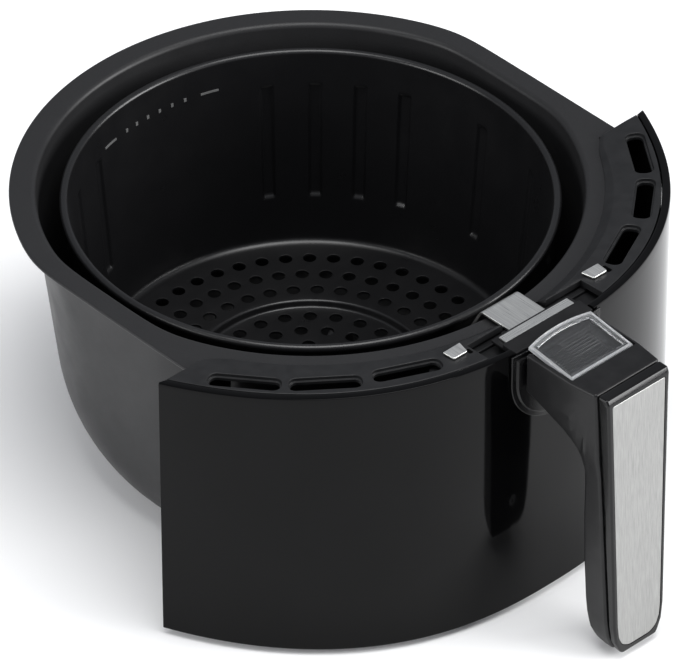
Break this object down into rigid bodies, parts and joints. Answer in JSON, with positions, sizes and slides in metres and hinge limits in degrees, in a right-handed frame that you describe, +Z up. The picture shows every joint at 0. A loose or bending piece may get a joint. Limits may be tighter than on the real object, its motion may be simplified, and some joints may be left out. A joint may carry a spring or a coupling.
{
  "type": "air fryer drawer",
  "caption": "Air-fryer drawer: flanged pan behind a curved glossy panel, with a perforated lift-out basket on a latching handle.",
  "frame": {"origin": "centre of the flat underside of the pan, on the axis of the basket, at the height the drawer rests on", "axes": "+Z up; -Y points out of the front, through the panel and the handle; +X is sideways, and the drawer is alike left and right of X = 0"},
  "size_m": [0.269, 0.3194, 0.1365],
  "materials": {
    "pan_coating": "dark grey non-stick coating, satin, slightly grainy",
    "panel_gloss": "high-gloss black moulding",
    "liner_plastic": "matt black moulding",
    "trim_plastic": "fine-textured black moulding",
    "clip_steel": "bright pressed steel",
    "bracket_steel": "plain pressed steel",
    "basket_coating": "near-black non-stick coating, satin",
    "strap_steel": "steel strip brushed lengthwise",
    "rivet_metal": "plain rivet",
    "neck_plastic": "matt black moulding",
    "strip_steel": "bright steel strip",
    "apron_plastic": "satin black moulding",
    "handle_plastic": "satin black moulding",
    "frame_gloss": "high-gloss black moulding",
    "inlay_steel": "plate brushed up and down",
    "cover_clear": "clear polished plastic",
    "pin_steel": "ground steel pin",
    "button_plastic": "black moulding with raised grip bars",
    "spring_steel": "drawn spring wire",
    "latch_plastic": "dark grey moulding",
    "screw_steel": "zinc-plated steel"
  },
  "bodies": {
    "drawer": {"pan": "pan_coating", "front_panel": "panel_gloss", "panel_liner": "liner_plastic", "trim": "trim_plastic", "clip_left": "clip_steel", "clip_right": "clip_steel", "keeper": "bracket_steel", "front_bracket": "bracket_steel", "screw_panel_left": "screw_steel", "screw_panel_right": "screw_steel"},
    "basket_unit": {"basket": "basket_coating", "strap": "strap_steel", "rivet_left": "rivet_metal", "rivet_right": "rivet_metal", "neck": "neck_plastic", "strip": "strip_steel", "apron": "apron_plastic", "handle_body": "handle_plastic", "grip_frame": "frame_gloss", "inlay": "inlay_steel", "cover_pin": "pin_steel", "button_spring": "spring_steel", "latch_pin": "pin_steel", "screw_grip_low": "screw_steel", "screw_grip_high": "screw_steel", "screw_strap_left": "screw_steel", "screw_strap_right": "screw_steel"},
    "flap": {"cover": "cover_clear"},
    "release_button": {"button": "button_plastic"},
    "latch_lever": {"latch": "latch_plastic"}
  },
  "joints": [
    {"name": "basket_lift", "type": "slide", "parent": "drawer", "child": "basket_unit", "axis": [0, 0, 1], "range_m": [0, 0.136]},
    {"name": "cover_flip", "type": "hinge", "parent": "basket_unit", "child": "flap", "pos_m": [0, -0.1686, 0.1312], "axis": [1, 0, 0], "range_deg": [0, 92]},
    {"name": "button_press", "type": "slide", "parent": "basket_unit", "child": "release_button", "axis": [0, 0, -1], "range_m": [0, 0.0035], "stiffness_N_per_m": 500, "springref_m": -0.001, "deforming": ["button_spring"]},
    {"name": "latch_turn", "type": "hinge", "parent": "basket_unit", "child": "latch_lever", "pos_m": [0, -0.135, 0.12], "axis": [1, 0, 0], "range_deg": [0, 10]}
  ],
  "couplings": [
    {"joint": "latch_turn", "follows": "button_press", "rad_per_m": 47.5}
  ]
}
